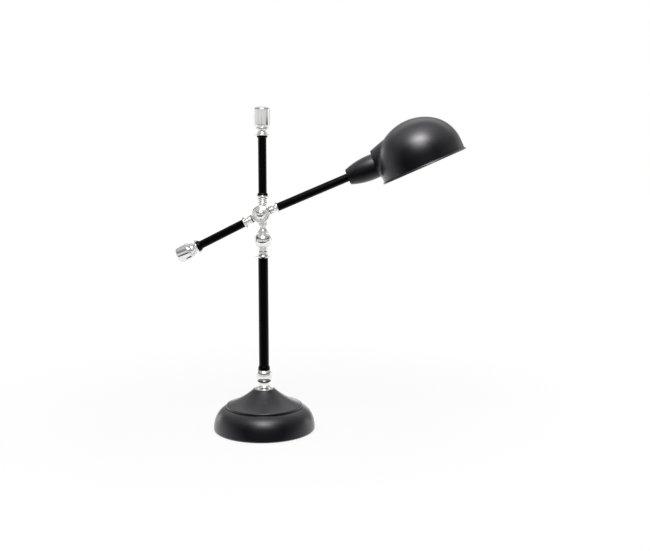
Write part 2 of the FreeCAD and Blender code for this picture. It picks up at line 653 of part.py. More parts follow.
# ---------------------------------------------------------------- knuckle
def post_hub():
    """The post's half of the knuckle: a disc on the cross screw with a boss up and one down."""
    disc = round_bar(POST_HUB_RADIUS, -POST_HUB_BACK, POST_HUB_FRONT, 2 * EDGE)
    disc = placed(disc, CROSS_LINE)
    bosses = rod(POST_HUB_FRONT - FIT_GAP, PIVOT_Z - POST_HUB_REACH, UPPER_NECK_Z)
    depth = STUB + EDGE
    seat_low = rod(STUB_RADIUS + FIT_GAP, PIVOT_Z - POST_HUB_REACH - 1, NECK_Z + NECK_HEIGHT + depth)
    seat_high = rod(STUB_RADIUS + FIT_GAP, UPPER_NECK_Z - depth, UPPER_NECK_Z + 1)
    lead = rod(LEAD_BORE, PIVOT_Z - POST_HUB_REACH, UPPER_NECK_Z)
    reach = 2 * POST_HUB_BACK
    screw = placed(rod(SCREW_RADIUS + RUN_GAP, -reach, reach), CROSS_LINE)
    hub = one_solid(disc.fuse(bosses))
    return hub.cut(seat_low).cut(seat_high).cut(lead).cut(screw)


def friction_washer():
    """The fibre washer between the two hubs, which holds the arm where it is put."""
    washer = tube(FRICTION_WASHER_RADIUS, SCREW_RADIUS + RUN_GAP, POST_HUB_FRONT, ARM_HUB_BACK)
    return placed(washer, CROSS_LINE)


def arm_hub():
    """The arm's half of the knuckle: a disc with a rounded front and a boss for each tube."""
    front = ARM_HUB_BACK + ARM_HUB
    disc = Outline(0, ARM_HUB_BACK).to(ARM_HUB_RADIUS - EDGE, ARM_HUB_BACK)
    disc.turn(ARM_HUB_RADIUS, ARM_HUB_BACK + EDGE).to(ARM_HUB_RADIUS, front - ARM_HUB_ROUND)
    disc.bow(CAP_FLANGE_RADIUS + EDGE, front, -QUARTER_RISE * ARM_HUB_ROUND)
    hub = placed(disc.to(0, front).spin(), CROSS_LINE)
    screw = placed(rod(SCREW_RADIUS + FIT_GAP, 0, front + 1), CROSS_LINE)
    for line in (FRONT_LINE, REAR_LINE):
        hub = hub.fuse(placed(rod(ARM_BOSS_RADIUS, 0, ARM_HUB_REACH), line))
    hub = one_solid(hub)
    for line in (FRONT_LINE, REAR_LINE):
        seat = rod(STUB_RADIUS + FIT_GAP, ARM_HUB_REACH - STUB - EDGE, ARM_HUB_REACH + 1)
        hub = hub.cut(placed(seat, line)).cut(placed(rod(LEAD_BORE, 0, ARM_HUB_REACH), line))
    return hub.cut(screw)


def pivot_cap():
    """The domed cap nut in the middle of the knuckle."""
    start = ARM_HUB_BACK + ARM_HUB
    cap = Outline(0, start).to(CAP_FLANGE_RADIUS, start)
    cap.turn(CAP_FLANGE_RADIUS - CAP_FLANGE, start + CAP_FLANGE)
    cap.to(CAP_DOME_RADIUS, start + CAP_FLANGE)
    side, crown = V(0, 0, CAP_DOME * DOME_PULL), V(CAP_DOME_RADIUS * DOME_PULL, 0, 0)
    cap.bend(side, crown, 0, start + CAP_FLANGE + CAP_DOME)
    hole = rod(SCREW_RADIUS + FIT_GAP, start - 1, start + SCREW_IN_CAP + EDGE)
    return placed(cap.spin().cut(hole), CROSS_LINE)


def pivot_screw():
    """The screw across the knuckle, from the cap to the nut behind."""
    back = POST_HUB_BACK + SPRING_WASHER + SCREW_IN_NUT
    return placed(rod(SCREW_RADIUS, -back, ARM_HUB_BACK + ARM_HUB + SCREW_IN_CAP), CROSS_LINE)


def spring_washer():
    """The dished washer that keeps the knuckle pressed together."""
    washer = tube(SPRING_WASHER_RADIUS, SCREW_RADIUS + FIT_GAP, 0, SPRING_WASHER)
    return placed(lifted(washer, POST_HUB_BACK), BACK_LINE)


def acorn_nut():
    """The domed hexagonal nut behind the knuckle."""
    start = POST_HUB_BACK + SPRING_WASHER
    top = start + ACORN_HEX
    radius = ACORN_FLATS / 2 - EDGE
    dome = Outline(0, top - EDGE).to(radius, top - EDGE).to(radius, top)
    side, crown = V(0, 0, ACORN_DOME * DOME_PULL), V(radius * DOME_PULL, 0, 0)
    dome.bend(side, crown, 0, top + ACORN_DOME)
    nut = one_solid(hexagon(ACORN_FLATS, start, top).fuse(dome.spin()))
    hole = rod(SCREW_RADIUS + FIT_GAP, start - 1, start + SCREW_IN_NUT + EDGE)
    return placed(nut.cut(hole), BACK_LINE)


# ---------------------------------------------------------------- upper post
def upper_neck():
    """The ringed chrome neck over the knuckle, with the flange that carries the upper tube."""
    taper = UPPER_NECK_HEIGHT - UPPER_FLANGE - UPPER_FLARE
    ring = taper / UPPER_NECK_RINGS
    neck = Outline(LEAD_BORE, -STUB).to(STUB_RADIUS, -STUB).to(STUB_RADIUS, 0)
    for step in range(UPPER_NECK_RINGS):
        radius = UPPER_NECK_RING_RADIUS if step % 2 else UPPER_NECK_RADIUS
        neck.to(radius - RING_RISE, ring * step)
        neck.bow(radius - RING_RISE, ring * (step + 1), -RING_RISE)
    neck.to(UPPER_NECK_RADIUS - RING_RISE, taper)
    neck.bow(UPPER_FLANGE_RADIUS, UPPER_NECK_HEIGHT - UPPER_FLANGE, RING_RISE)
    neck.bow(UPPER_FLANGE_RADIUS, UPPER_NECK_HEIGHT, -RING_RISE)
    spigot = UPPER_TUBE_RADIUS - TUBE_WALL - FIT_GAP
    neck.to(spigot, UPPER_NECK_HEIGHT).to(spigot, UPPER_NECK_HEIGHT + SPIGOT)
    neck.to(LEAD_BORE, UPPER_NECK_HEIGHT + SPIGOT)
    return lifted(neck.spin(), UPPER_NECK_Z)


def upper_tube():
    """The black tube over the knuckle."""
    inner = UPPER_TUBE_RADIUS - TUBE_WALL
    return tube(UPPER_TUBE_RADIUS, inner, UPPER_TUBE_Z, TOP_FINIAL_Z)


def upper_collar_low():
    """The ferrule at the foot of the upper tube."""
    end = UPPER_TUBE_Z + UPPER_COLLAR_LOW
    return collar(UPPER_TUBE_RADIUS, COLLAR_RADIUS, UPPER_TUBE_Z, end)


def upper_collar_high():
    """The ferrule at the top of the upper tube, turned the other way up."""
    ring = collar(UPPER_TUBE_RADIUS, COLLAR_RADIUS, 0, UPPER_COLLAR_HIGH)
    turned = ring.transformed(FreeCAD.Rotation(V(1, 0, 0), 180).toMatrix(), True)
    return lifted(turned, TOP_FINIAL_Z)


def finial(tube_radius, barrel):
    """A chrome finial: flange, bead, neck and ring, then a barrel with rounded shoulders."""
    spigot = tube_radius - TUBE_WALL - FIT_GAP
    bead_start = FINIAL_FLANGE
    neck_start = bead_start + FINIAL_BEAD
    ring_start = neck_start + FINIAL_NECK
    barrel_start = ring_start + FINIAL_RING
    end = barrel_start + barrel
    body = Outline(0, -SPIGOT).to(spigot, -SPIGOT).to(spigot, 0)
    body.to(FINIAL_FLANGE_RADIUS - EDGE, 0)
    body.bow(FINIAL_FLANGE_RADIUS - EDGE, FINIAL_FLANGE, -EDGE)
    body.to(FINIAL_BEAD_RADIUS - FINIAL_BULGE, bead_start)
    body.bow(FINIAL_NECK_RADIUS, neck_start, -FINIAL_BULGE)
    body.bow(FINIAL_NECK_RADIUS, ring_start, EDGE)
    body.to(FINIAL_RING_RADIUS - FINIAL_BULGE, ring_start)
    body.bow(FINIAL_RING_RADIUS - FINIAL_BULGE, barrel_start, -FINIAL_BULGE)
    body.to(BARREL_FOOT_RADIUS - EDGE, barrel_start)
    body.turn(BARREL_FOOT_RADIUS, barrel_start + EDGE)
    body.bow(BARREL_RADIUS - BARREL_SWELL, barrel_start + BARREL_FOOT, -BARREL_SWELL / 2)
    body.bow(BARREL_TOP_RADIUS, end - BARREL_SHOULDER, -BARREL_SWELL)
    shoulder = V(BARREL_TOP_RADIUS - BARREL_FLAT_RADIUS, 0, 0) * DOME_PULL
    rise = V(0, 0, BARREL_SHOULDER) * DOME_PULL
    body.bend(rise, shoulder, BARREL_FLAT_RADIUS, end - BARREL_CROWN)
    body.to(0, end)
    return body.spin()


def top_finial():
    """The finial on top of the post."""
    return lifted(finial(UPPER_TUBE_RADIUS, TOP_BARREL), TOP_FINIAL_Z)


# ---------------------------------------------------------------- arm
def connector():
    """A chrome connector from a boss of the arm's hub to a tube."""
    bead_start = CONNECTOR_FOOT
    dip_start = bead_start + CONNECTOR_BEAD
    flare_start = dip_start + CONNECTOR_DIP
    flange_start = flare_start + CONNECTOR_FLARE
    spigot = ARM_TUBE_RADIUS - TUBE_WALL - FIT_GAP
    stub_end = -STUB - SEAT_WASHER
    body = Outline(LEAD_BORE, stub_end).to(STUB_RADIUS, stub_end).to(STUB_RADIUS, 0)
    body.to(CONNECTOR_FOOT_RADIUS, 0).bow(CONNECTOR_FOOT_RADIUS, CONNECTOR_FOOT, -RING_RISE)
    body.to(CONNECTOR_DIP_RADIUS + EDGE, bead_start)
    body.bow(CONNECTOR_DIP_RADIUS, dip_start, CONNECTOR_DIP_RADIUS - CONNECTOR_BEAD_RADIUS)
    body.to(CONNECTOR_DIP_RADIUS, flare_start)
    body.bow(CONNECTOR_FLANGE_RADIUS, flange_start, CONNECTOR_SWEEP)
    body.bow(CONNECTOR_FLANGE_RADIUS, CONNECTOR_LENGTH, -RING_RISE)
    body.to(spigot, CONNECTOR_LENGTH).to(spigot, CONNECTOR_LENGTH + SPIGOT)
    body.to(LEAD_BORE, CONNECTOR_LENGTH + SPIGOT)
    return lifted(body.spin(), CONNECTOR_START)


def seat_washer():
    """A black washer between a boss of the arm's hub and its connector."""
    washer = round_bar(SEAT_WASHER_RADIUS, ARM_HUB_REACH, CONNECTOR_START, SEAT_WASHER_EDGE)
    return washer.cut(rod(STUB_RADIUS + FIT_GAP, ARM_HUB_REACH - 1, CONNECTOR_START + 1))


def front_washer():
    """The washer of the front connector."""
    return placed(seat_washer(), FRONT_LINE)


def rear_washer():
    """The washer of the rear connector."""
    return placed(seat_washer(), REAR_LINE)


def front_connector():
    """The connector of the front tube."""
    return placed(connector(), FRONT_LINE)


def rear_connector():
    """The connector of the rear tube."""
    return placed(connector(), REAR_LINE)


def front_tube():
    """The black tube that carries the head."""
    inner = ARM_TUBE_RADIUS - TUBE_WALL
    return placed(tube(ARM_TUBE_RADIUS, inner, TUBE_START, HOLDER_START), FRONT_LINE)


def rear_tube():
    """The black tube that carries the counterweight."""
    inner = ARM_TUBE_RADIUS - TUBE_WALL
    return placed(tube(ARM_TUBE_RADIUS, inner, TUBE_START, REAR_FINIAL_START), REAR_LINE)


def rear_collar():
    """The ferrule at the end of the rear tube, turned towards the counterweight."""
    ring = collar(ARM_TUBE_RADIUS, COLLAR_RADIUS, 0, REAR_COLLAR)
    turned = ring.transformed(FreeCAD.Rotation(V(1, 0, 0), 180).toMatrix(), True)
    return placed(lifted(turned, REAR_FINIAL_START), REAR_LINE)


def rear_finial():
    """The solid finial that is the counterweight."""
    weight = finial(ARM_TUBE_RADIUS, REAR_BARREL)
    return placed(lifted(weight, REAR_FINIAL_START), REAR_LINE)


def holder_nipple():
    """The hollow nipple in the end of the front tube, on which the head turns."""
    radius = ARM_TUBE_RADIUS - TUBE_WALL - FIT_GAP
    end = HOLDER_START + NIPPLE_OUT
    return placed(tube(radius, NIPPLE_BORE, end - NIPPLE_LENGTH, end), FRONT_LINE)


def nipple_nut():
    """The round nut that keeps the lampholder on the nipple."""
    bore = ARM_TUBE_RADIUS - TUBE_WALL
    start = HOLDER_START + HOLDER_FLOOR + FIT_GAP
    return placed(tube(NIPPLE_NUT_RADIUS, bore, start, start + NIPPLE_NUT), FRONT_LINE)


# ---------------------------------------------------------------- head
def cover_profile(outline, inset, start, end):
    """The bulging side of the socket cover, sunk in by inset."""
    outline.to(COVER_NARROW_RADIUS - inset, start)
    return outline.bow(COVER_WIDE_RADIUS - inset, end, -COVER_BULGE)


def socket_cover():
    """The black bullet-shaped cover over the lampholder."""
    outer = Outline(0, COVER_START)
    cover_profile(outer, 0, COVER_START, PLATE_START).to(0, PLATE_START)
    inner = Outline(0, COVER_START + COVER_PLATE)
    cover_profile(inner, COVER_WALL, COVER_START + COVER_PLATE, PLATE_START + 1)
    inner.to(0, PLATE_START + 1)
    hole = rod(ARM_TUBE_RADIUS + RUN_GAP, COVER_START - 1, PLATE_START)
    return placed(outer.spin().cut(inner.spin()).cut(hole), FRONT_LINE)


def lampholder():
    """The body of the lampholder, with the flange and neck that carry the shade."""
    start = HOLDER_START
    flange_start = PLATE_START - HOLDER_FLANGE
    end = PLATE_START + HOLDER_NECK
    floor = start + HOLDER_FLOOR
    bore = ARM_TUBE_RADIUS - TUBE_WALL
    body = Outline(bore, start).to(HOLDER_BASE_RADIUS, start)
    body.to(HOLDER_SHOULDER_RADIUS, start + HOLDER_SHOULDER)
    body.to(HOLDER_RADIUS, start + HOLDER_BODY_START).to(HOLDER_RADIUS, flange_start)
    body.to(HOLDER_FLANGE_RADIUS, flange_start).to(HOLDER_FLANGE_RADIUS, PLATE_START)
    body.to(HOLDER_RADIUS, PLATE_START).to(HOLDER_RADIUS, end)
    body.to(HOLDER_BORE_RADIUS, end).to(HOLDER_BORE_RADIUS, BLOCK_START)
    body.to(HOLDER_POCKET_RADIUS, BLOCK_START).to(HOLDER_POCKET_RADIUS, floor)
    body.to(bore, floor)
    return placed(body.spin(), FRONT_LINE)


def contact_block():
    """The insulating block at the bottom of the socket."""
    radius = HOLDER_BORE_RADIUS - FIT_GAP
    return placed(rod(radius, BLOCK_START, SHELL_START), FRONT_LINE)


def screw_shell():
    """The threaded sleeve that takes the bulb's cap."""
    inner = SCREW_SHELL_RADIUS - SCREW_SHELL_WALL
    end = SHELL_START + SCREW_SHELL_LENGTH
    return placed(tube(SCREW_SHELL_RADIUS, inner, SHELL_START, end), FRONT_LINE)


def centre_contact():
    """The bent strip that touches the tip of the bulb."""
    half = CONTACT_LENGTH / 2
    knee = half - CONTACT_KNEE
    top = CONTACT_RISE - FIT_GAP
    corners = [
        V(-half, 0, 0),
        V(0, 0, 0),
        V(knee, 0, top - CONTACT_THICKNESS),
        V(half, 0, top - CONTACT_THICKNESS),
        V(half, 0, top),
        V(knee - CONTACT_LEAN, 0, top),
        V(-CONTACT_LEAN, 0, CONTACT_THICKNESS),
        V(-half, 0, CONTACT_THICKNESS),
        V(-half, 0, 0),
    ]
    strip = Part.Face(Part.makePolygon(corners)).extrude(V(0, CONTACT_WIDTH, 0))
    strip = outward(strip).translated(V(-knee, -CONTACT_WIDTH / 2, SHELL_START))
    return placed(strip, FRONT_LINE)


def bulb_cap():
    """The screw cap of the bulb with its tip."""
    side = CONTACT_TOP + BULB_TIP
    cap = Outline(0, CONTACT_TOP).to(BULB_TIP_FLAT, CONTACT_TOP)
    cap.bow(BULB_TIP_RADIUS, CONTACT_TOP + BULB_TIP_EDGE, -BULB_TIP_BULGE)
    cap.to(BULB_CAP_RADIUS - BULB_CAP_SLOPE, side).to(BULB_CAP_RADIUS, side + BULB_CAP_EDGE)
    cap.to(BULB_CAP_RADIUS, side + BULB_CAP_LENGTH).to(0, side + BULB_CAP_LENGTH)
    return placed(cap.spin(), FRONT_LINE)


def globe(radius, neck_radius, start, end):
    """A round bulb that comes off its cap with a straight neck."""
    middle = end - radius
    join = middle - math.sqrt(radius**2 - neck_radius**2)
    glass = Outline(0, start).to(neck_radius, start).to(neck_radius, join)
    return glass.through((radius, middle), (0, end)).spin()


def bulb_glass():
    """The glass globe of the bulb."""
    start = CONTACT_TOP + BULB_TIP + BULB_CAP_LENGTH
    middle = start + BULB_NECK + math.sqrt(BULB_RADIUS**2 - BULB_NECK_RADIUS**2)
    end = middle + BULB_RADIUS
    outer = globe(BULB_RADIUS, BULB_NECK_RADIUS, start, end)
    inner_radius = BULB_RADIUS - GLASS_WALL
    inner = globe(inner_radius, BULB_NECK_RADIUS - GLASS_WALL, start - 1, end - GLASS_WALL)
    return placed(outer.cut(inner), FRONT_LINE)


# ---------------------------------------------------------------- shade
def dome(inset):
    """The round of the shade down to its opening, sunk in by inset."""
    crown_z = SHADE_HEIGHT - CROWN_RADIUS
    shoulder_r = SHADE_RADIUS - SHOULDER_RADIUS
    apart = CROWN_RADIUS - SHOULDER_RADIUS
    shoulder_z = crown_z + math.sqrt(apart**2 - shoulder_r**2)
    tilt = math.atan2(shoulder_z - crown_z, shoulder_r)
    crown = CROWN_RADIUS - inset
    shoulder = SHOULDER_RADIUS - inset

    def on_crown(angle):
        return crown * math.cos(angle), crown_z + crown * math.sin(angle)

    def on_shoulder(angle):
        return shoulder_r + shoulder * math.cos(angle), shoulder_z + shoulder * math.sin(angle)

    side = Outline(0, SHADE_HEIGHT - inset)
    side.through(on_crown((math.pi / 2 + tilt) / 2), on_crown(tilt))
    return side.through(on_shoulder(tilt / 2), on_shoulder(0))


def tilted(body):
    """The round of the shade, turned about the middle of its opening."""
    return body.rotate(ORIGIN, V(0, -1, 0), SHADE_TILT)


def neck_cone(inset, start_inset):
    """The cone that joins the shade to the socket cover, on the line of the front tube."""
    spread = math.tan(math.radians(SHADE_NECK_ANGLE))
    near = SHADE_NECK_RADIUS - inset + start_inset * spread
    far = SHADE_NECK_RADIUS - inset + SHADE_NECK_LENGTH * spread
    length = SHADE_NECK_LENGTH - start_inset
    middle = V(start_inset - SHADE_REACH, 0, SHADE_DROP + SHADE_NECK_RISE)
    return Part.makeCone(near, far, length, middle, V(1, 0, 0))


def blended(body):
    """The dome and neck with the crease between them rounded."""
    crease = [
        edge
        for edge in body.Edges
        if edge.BoundBox.XMin > FIT_GAP - SHADE_REACH
        and edge.BoundBox.XMax < SHADE_NECK_LENGTH - SHADE_REACH
        and edge.BoundBox.ZMax > LIP_BEAD * 4
        and edge.BoundBox.ZLength > FIT_GAP
    ]
    return body.makeFillet(SHADE_BLEND, crease)


def shade():
    """The spun steel shade: a round dome, a short neck at its side and a rolled lip."""
    outer = tilted(dome(0).to(SHADE_RADIUS, 0).to(0, 0).spin())
    skin = blended(one_solid(outer.fuse(neck_cone(0, 0))))
    lip_radius = SHADE_RADIUS + LIP_REACH - LIP_BEAD
    lip = Outline(SHADE_RADIUS - SHADE_WALL, LIP_BEAD + LIP_TURN)
    lip.to(SHADE_RADIUS, 2 * LIP_BEAD + LIP_TURN)
    lip.bow(lip_radius, 2 * LIP_BEAD, LIP_SWEEP)
    lip.bow(lip_radius, 0, -LIP_BEAD)
    lip.to(lip_radius - LIP_SWEEP, 0)
    lip.bow(SHADE_RADIUS - SHADE_WALL, LIP_BEAD + LIP_TURN, -LIP_SWEEP)
    bead = lip.spin()
    trim = tilted(rod(SHADE_RADIUS + 2 * LIP_REACH, 0, LIP_BEAD + LIP_TURN).cut(bead))
    cavity = tilted(dome(SHADE_WALL).to(SHADE_RADIUS - SHADE_WALL, -1).to(0, -1).spin())
    throat = neck_cone(SHADE_WALL, SHADE_WALL)
    hole_radius = HOLDER_RADIUS + FIT_GAP * 2
    hole_start = V(-SHADE_REACH - 1, 0, SHADE_DROP)
    hole = Part.makeCylinder(hole_radius, SHADE_WALL + 2, hole_start, V(1, 0, 0))
    body = skin.fuse(tilted(bead)).cut(cavity).cut(throat).cut(hole)
    return placed(one_solid(body.cut(trim)), SHADE_PLACE)


def shade_ring():
    """The ring that clamps the shade's plate on the lampholder."""
    start = PLATE_START + SHADE_WALL
    ring = round_bar(RING_RADIUS, start, start + RING_THICKNESS)
    bore = rod(HOLDER_RADIUS + FIT_GAP, start - 1, start + RING_THICKNESS + 1)
    return placed(ring.cut(bore), FRONT_LINE)


PIECES = [
    base_shell,
    ballast_weight,
    base_pad,
    cord_grommet,
    base_washer,
    base_nut,
    swivel_stem,
    base_flange,
    swivel_washer,
    stem_ring_nut,
    base_ball,
    lower_collar,
    lower_tube,
    saucer_flange,
    post_ball,
    post_neck,
    post_hub,
    friction_washer,
    upper_neck,
    upper_collar_low,
    upper_tube,
    upper_collar_high,
    top_finial,
    arm_hub,
    pivot_cap,
    pivot_screw,
    spring_washer,
    acorn_nut,
    front_washer,
    front_connector,
    front_tube,
    holder_nipple,
    nipple_nut,
    rear_washer,
    rear_connector,
    rear_tube,
    rear_collar,
    rear_finial,
    socket_cover,
    lampholder,
    contact_block,
    screw_shell,
    centre_contact,
    bulb_cap,
    bulb_glass,
    shade,
    shade_ring,
]

os.makedirs("parts", exist_ok=True)
for piece in PIECES:
    solid = piece()
    if not solid.isValid():
        raise ValueError(piece.__name__ + " is not a valid solid")
    solid.exportStep("parts/" + piece.__name__ + ".step")
    print(piece.__name__, len(solid.Solids), round(solid.Volume))
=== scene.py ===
import bpy
import json
import math
from bpy.props import FloatProperty, PointerProperty, StringProperty
from mathutils import Euler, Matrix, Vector


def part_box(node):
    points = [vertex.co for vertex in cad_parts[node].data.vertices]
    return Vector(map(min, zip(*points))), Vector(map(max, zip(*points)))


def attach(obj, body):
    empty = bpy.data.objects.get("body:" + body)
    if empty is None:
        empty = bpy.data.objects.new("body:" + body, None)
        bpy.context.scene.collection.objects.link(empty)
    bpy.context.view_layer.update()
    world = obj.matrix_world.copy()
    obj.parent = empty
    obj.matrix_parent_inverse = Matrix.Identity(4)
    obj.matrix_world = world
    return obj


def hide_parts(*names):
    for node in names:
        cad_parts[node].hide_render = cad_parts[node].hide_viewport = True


bl_info = {
    "name": "Balance Desk Lamp",
    "version": (1, 0, 0),
    "blender": (4, 5, 0),
    "location": "View3D > Sidebar > Desk Lamp",
    "description": "Finishes a counterweight balance desk lamp and its studio",
    "category": "Object",
}

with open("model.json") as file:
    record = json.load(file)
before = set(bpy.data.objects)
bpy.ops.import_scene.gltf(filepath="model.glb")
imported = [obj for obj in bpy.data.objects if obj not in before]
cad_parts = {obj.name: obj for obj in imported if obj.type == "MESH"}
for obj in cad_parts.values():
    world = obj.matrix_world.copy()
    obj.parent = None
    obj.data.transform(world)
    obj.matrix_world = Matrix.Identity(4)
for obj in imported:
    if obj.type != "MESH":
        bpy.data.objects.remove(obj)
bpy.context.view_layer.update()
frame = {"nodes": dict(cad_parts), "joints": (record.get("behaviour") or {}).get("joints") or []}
MM = 0.001

# The camera's lens and film width in mm, and how far it sees, in metres.
LENS_MM = 50
FILM_MM = 36
CAMERA_REACH = 50

# The softbox and its bright middle hang at one place and look at another. Their sizes are from
# side to side and from front to back.
SOFTBOX_SPOT = Vector((0.14, -0.9, 1.4))
SOFTBOX_AIM = Vector((0.14, -0.06, 0.3))
SOFTBOX_SIZE = (1.0, 0.7)
HOT_CORE_SIZE = (0.5, 0.34)

# The paper on the table. As seen, it glows at one level near the post and at another far from
# it: the stronger glow far off is painted light that evens out the lamps' falloff. A grey lit by the
# lamps adds the shadow.
FLOOR_SPAN = 12.0
NEAR, FAR = 0.25, 1.6
NEAR_GLOW, FAR_GLOW = 0.86, 1.0
SHADOW_GREY = "#787878"

# The dim light from all round that matt surfaces get.
FILL = 0.35

# The light tent that mirrors see. Each part of it is a product of levels that follow one axis of
# the way looked: X to the right, Y to the back and Z up, each from -1 to 1.
TENT_WALLS = {
    "Y": [(-1.0, 0.8), (-0.5, 0.75), (-0.1, 0.9), (0.1, 0.8), (0.45, 0.8), (0.62, 1.7), (0.8, 1.6),
          (1.0, 1.4)],
    "Z": [(-1.0, 0.4), (-0.1, 1.0), (0.2, 1.0), (0.3, 0.3), (0.5, 0.3), (0.62, 0.65), (1.0, 0.7)],
}
TENT_SEAM = {
    "Y": [(-1.0, 0.0), (0.68, 0.0), (0.78, 0.8), (0.95, 0.7), (0.99, 0.1), (1.0, 0.0)],
    "Z": [(-0.5, 0.0), (-0.35, 1.0), (0.2, 1.0), (0.32, 0.0)],
}
TENT_STREAKS = {
    "X": [(-0.8, 0.0), (-0.72, 0.45), (-0.64, 0.0), (-0.04, 0.1), (0.03, 1.0), (0.1, 0.1),
          (0.9, 0.1), (0.97, 1.0)],
    "Y": [(0.0, 1.0), (0.3, 0.0)],
    "Z": [(-0.12, 1.0), (0.0, 0.85), (0.1, 0.4), (0.4, 0.2), (0.6, 0.0)],
}
TENT_FOOT = {
    "Y": [(0.0, 1.0), (0.4, 0.0)],
    "Z": [(-0.36, 1.0), (-0.2, 0.5), (-0.08, 0.15), (0.05, 0.0)],
}

# How a coat's gloss follows the slant it is seen at, from 0 straight on to 1 along the surface:
# where the specular level starts and stops rising, where the roughness starts and stops falling,
# and the share of the roughness that is left at the end.
LEVEL_RISE = (0.08, 0.6)
ROUGHNESS_FALL = (0.35, 0.9)
ROUGHNESS_LEFT = 0.45

# The pitch in mm of the thread on the lampholder's shell and the bulb's cap.
THREAD_PITCH_MM = 3.6

# A place inside the shade's hollow, ahead of its ring along the front tube and below that line.
HOLLOW_AHEAD = 65 * MM
HOLLOW_BELOW = 30 * MM

PAD_SIDES = 240
PAD_EDGE = 0.5 * MM

# Which pieces share a finish.
ENAMELLED = ["base_shell", "socket_cover"]
TUBES = ["lower_tube", "upper_tube", "front_tube", "rear_tube"]
FERRULES = ["lower_collar", "upper_collar_low", "upper_collar_high", "rear_collar"]
POST_CHROME = [
    "base_flange",
    "base_ball",
    "saucer_flange",
    "post_ball",
    "post_neck",
    "upper_neck",
    "top_finial",
]
KNUCKLE_CHROME = ["post_hub", "arm_hub", "pivot_cap", "acorn_nut"]
FRONT_CHROME = ["front_connector"]
REAR_CHROME = ["rear_connector", "rear_finial"]
ZINC_PLATED = [
    "swivel_stem",
    "base_washer",
    "base_nut",
    "stem_ring_nut",
    "pivot_screw",
    "spring_washer",
    "holder_nipple",
    "nipple_nut",
]
FIBRE = ["swivel_washer", "friction_washer", "front_washer", "rear_washer"]
PHENOLIC = ["lampholder", "shade_ring"]

joints = {joint["name"]: joint for joint in frame["joints"]}
PIVOT = Vector(joints["arm_tilt"]["pos_m"])
FORWARD = Vector(joints["shade_swivel"]["axis"]).normalized()
FRONT_RISE = math.asin(FORWARD.z)


def node_middle(name):
    """The middle of a node's box."""
    low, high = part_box(name)
    return (low + high) / 2


REAR_WAY = (node_middle("rear_tube") - PIVOT).normalized()
REAR_FALL = math.asin(-REAR_WAY.z)


# ---------------------------------------------------------------- settings
class LampFinish(bpy.types.PropertyGroup):
    """The colours of the lamp's finishes."""

    enamel: StringProperty(
        name="Enamel", description="Black enamel of base, cover and shade", default="#070507"
    )
    lining: StringProperty(
        name="Lining", description="White enamel inside the shade", default="#EFEDE6"
    )
    lacquer: StringProperty(
        name="Lacquer", description="Black lacquer of the tubes", default="#040304"
    )
    chrome: StringProperty(name="Chrome", description="Polished fittings", default="#EDEDEB")
    opal: StringProperty(name="Opal", description="Glass of the bulb", default="#F6F4EE")


class LampStudio(bpy.types.PropertyGroup):
    """The camera and the lights."""

    distance: FloatProperty(
        name="Distance",
        description="From the camera to the upright through the post",
        default=1.445,
        subtype="DISTANCE",
        unit="LENGTH",
    )
    height: FloatProperty(
        name="Height",
        description="Of the camera over the table",
        default=0.432,
        subtype="DISTANCE",
        unit="LENGTH",
    )
    aside: FloatProperty(
        name="Aside",
        description="How far the camera stands to the right of the post",
        default=0.0995,
        subtype="DISTANCE",
        unit="LENGTH",
    )
    turn: FloatProperty(
        name="Turn",
        description="How far the camera has gone round the lamp",
        default=math.radians(6.5),
        subtype="ANGLE",
        unit="ROTATION",
    )
    pitch: FloatProperty(
        name="Pitch",
        description="How far the camera looks down",
        default=math.radians(7.0),
        subtype="ANGLE",
        unit="ROTATION",
    )
    softbox: FloatProperty(
        name="Softbox", description="Power of the softbox overhead, in watts", default=10.0
    )
    hot_core: FloatProperty(
        name="Hot Core",
        description="Power of the softbox's bright middle, which shows in gloss alone, in watts",
        default=98.0,
    )
    front_edge: FloatProperty(
        name="Front Edge",
        description="How far the paper reaches towards the camera",
        default=0.56,
        subtype="DISTANCE",
        unit="LENGTH",
    )
    paper: StringProperty(name="Paper", description="The pale floor", default="#F4F4F4")


# ---------------------------------------------------------------- helpers
def linear(hex_colour):
    """A colour written as sRGB hex, as the linear values that the shaders take."""
    parts = [int(hex_colour[start : start + 2], 16) / 255 for start in (1, 3, 5)]
    low = [part / 12.92 for part in parts]
    high = [((part + 0.055) / 1.055) ** 2.4 for part in parts]
    return [h if part > 0.04045 else l for part, l, h in zip(parts, low, high)] + [1.0]


def add(tree, kind, inputs=None, stops=(), **settings):
    """A new node with its settings, the stops of its ramp, and what feeds its inputs.

    Each input is a value, or the output that is linked to it.
    """
    made = tree.nodes.new(kind)
    for name, value in settings.items():
        setattr(made, name, value)
    for number, (place, colour) in enumerate(stops):
        elements = made.color_ramp.elements
        element = elements[number] if number < len(elements) else elements.new(place)
        element.position, element.color = place, colour
    for name, value in (inputs or {}).items():
        if isinstance(value, bpy.types.NodeSocket):
            tree.links.new(value, made.inputs[name])
        else:
            made.inputs[name].default_value = value
    return made


def per_metre(size_mm):
    """The scale of a texture on coordinates in metres whose grain has this size."""
    return 1 / (size_mm * MM)


def blank_material(name):
    """An empty node material, its tree, its output and the coordinates on the piece."""
    material = bpy.data.materials.new(name)
    material.use_nodes = True
    tree = material.node_tree
    tree.nodes.clear()
    out = add(tree, "ShaderNodeOutputMaterial")
    where = add(tree, "ShaderNodeTexCoord").outputs["Object"]
    return material, tree, out.inputs["Surface"], where


def put_on(material, names):
    """CAD nodes take one material."""
    for name in names:
        slots = frame["nodes"][name].data.materials
        slots.clear()
        slots.append(material)


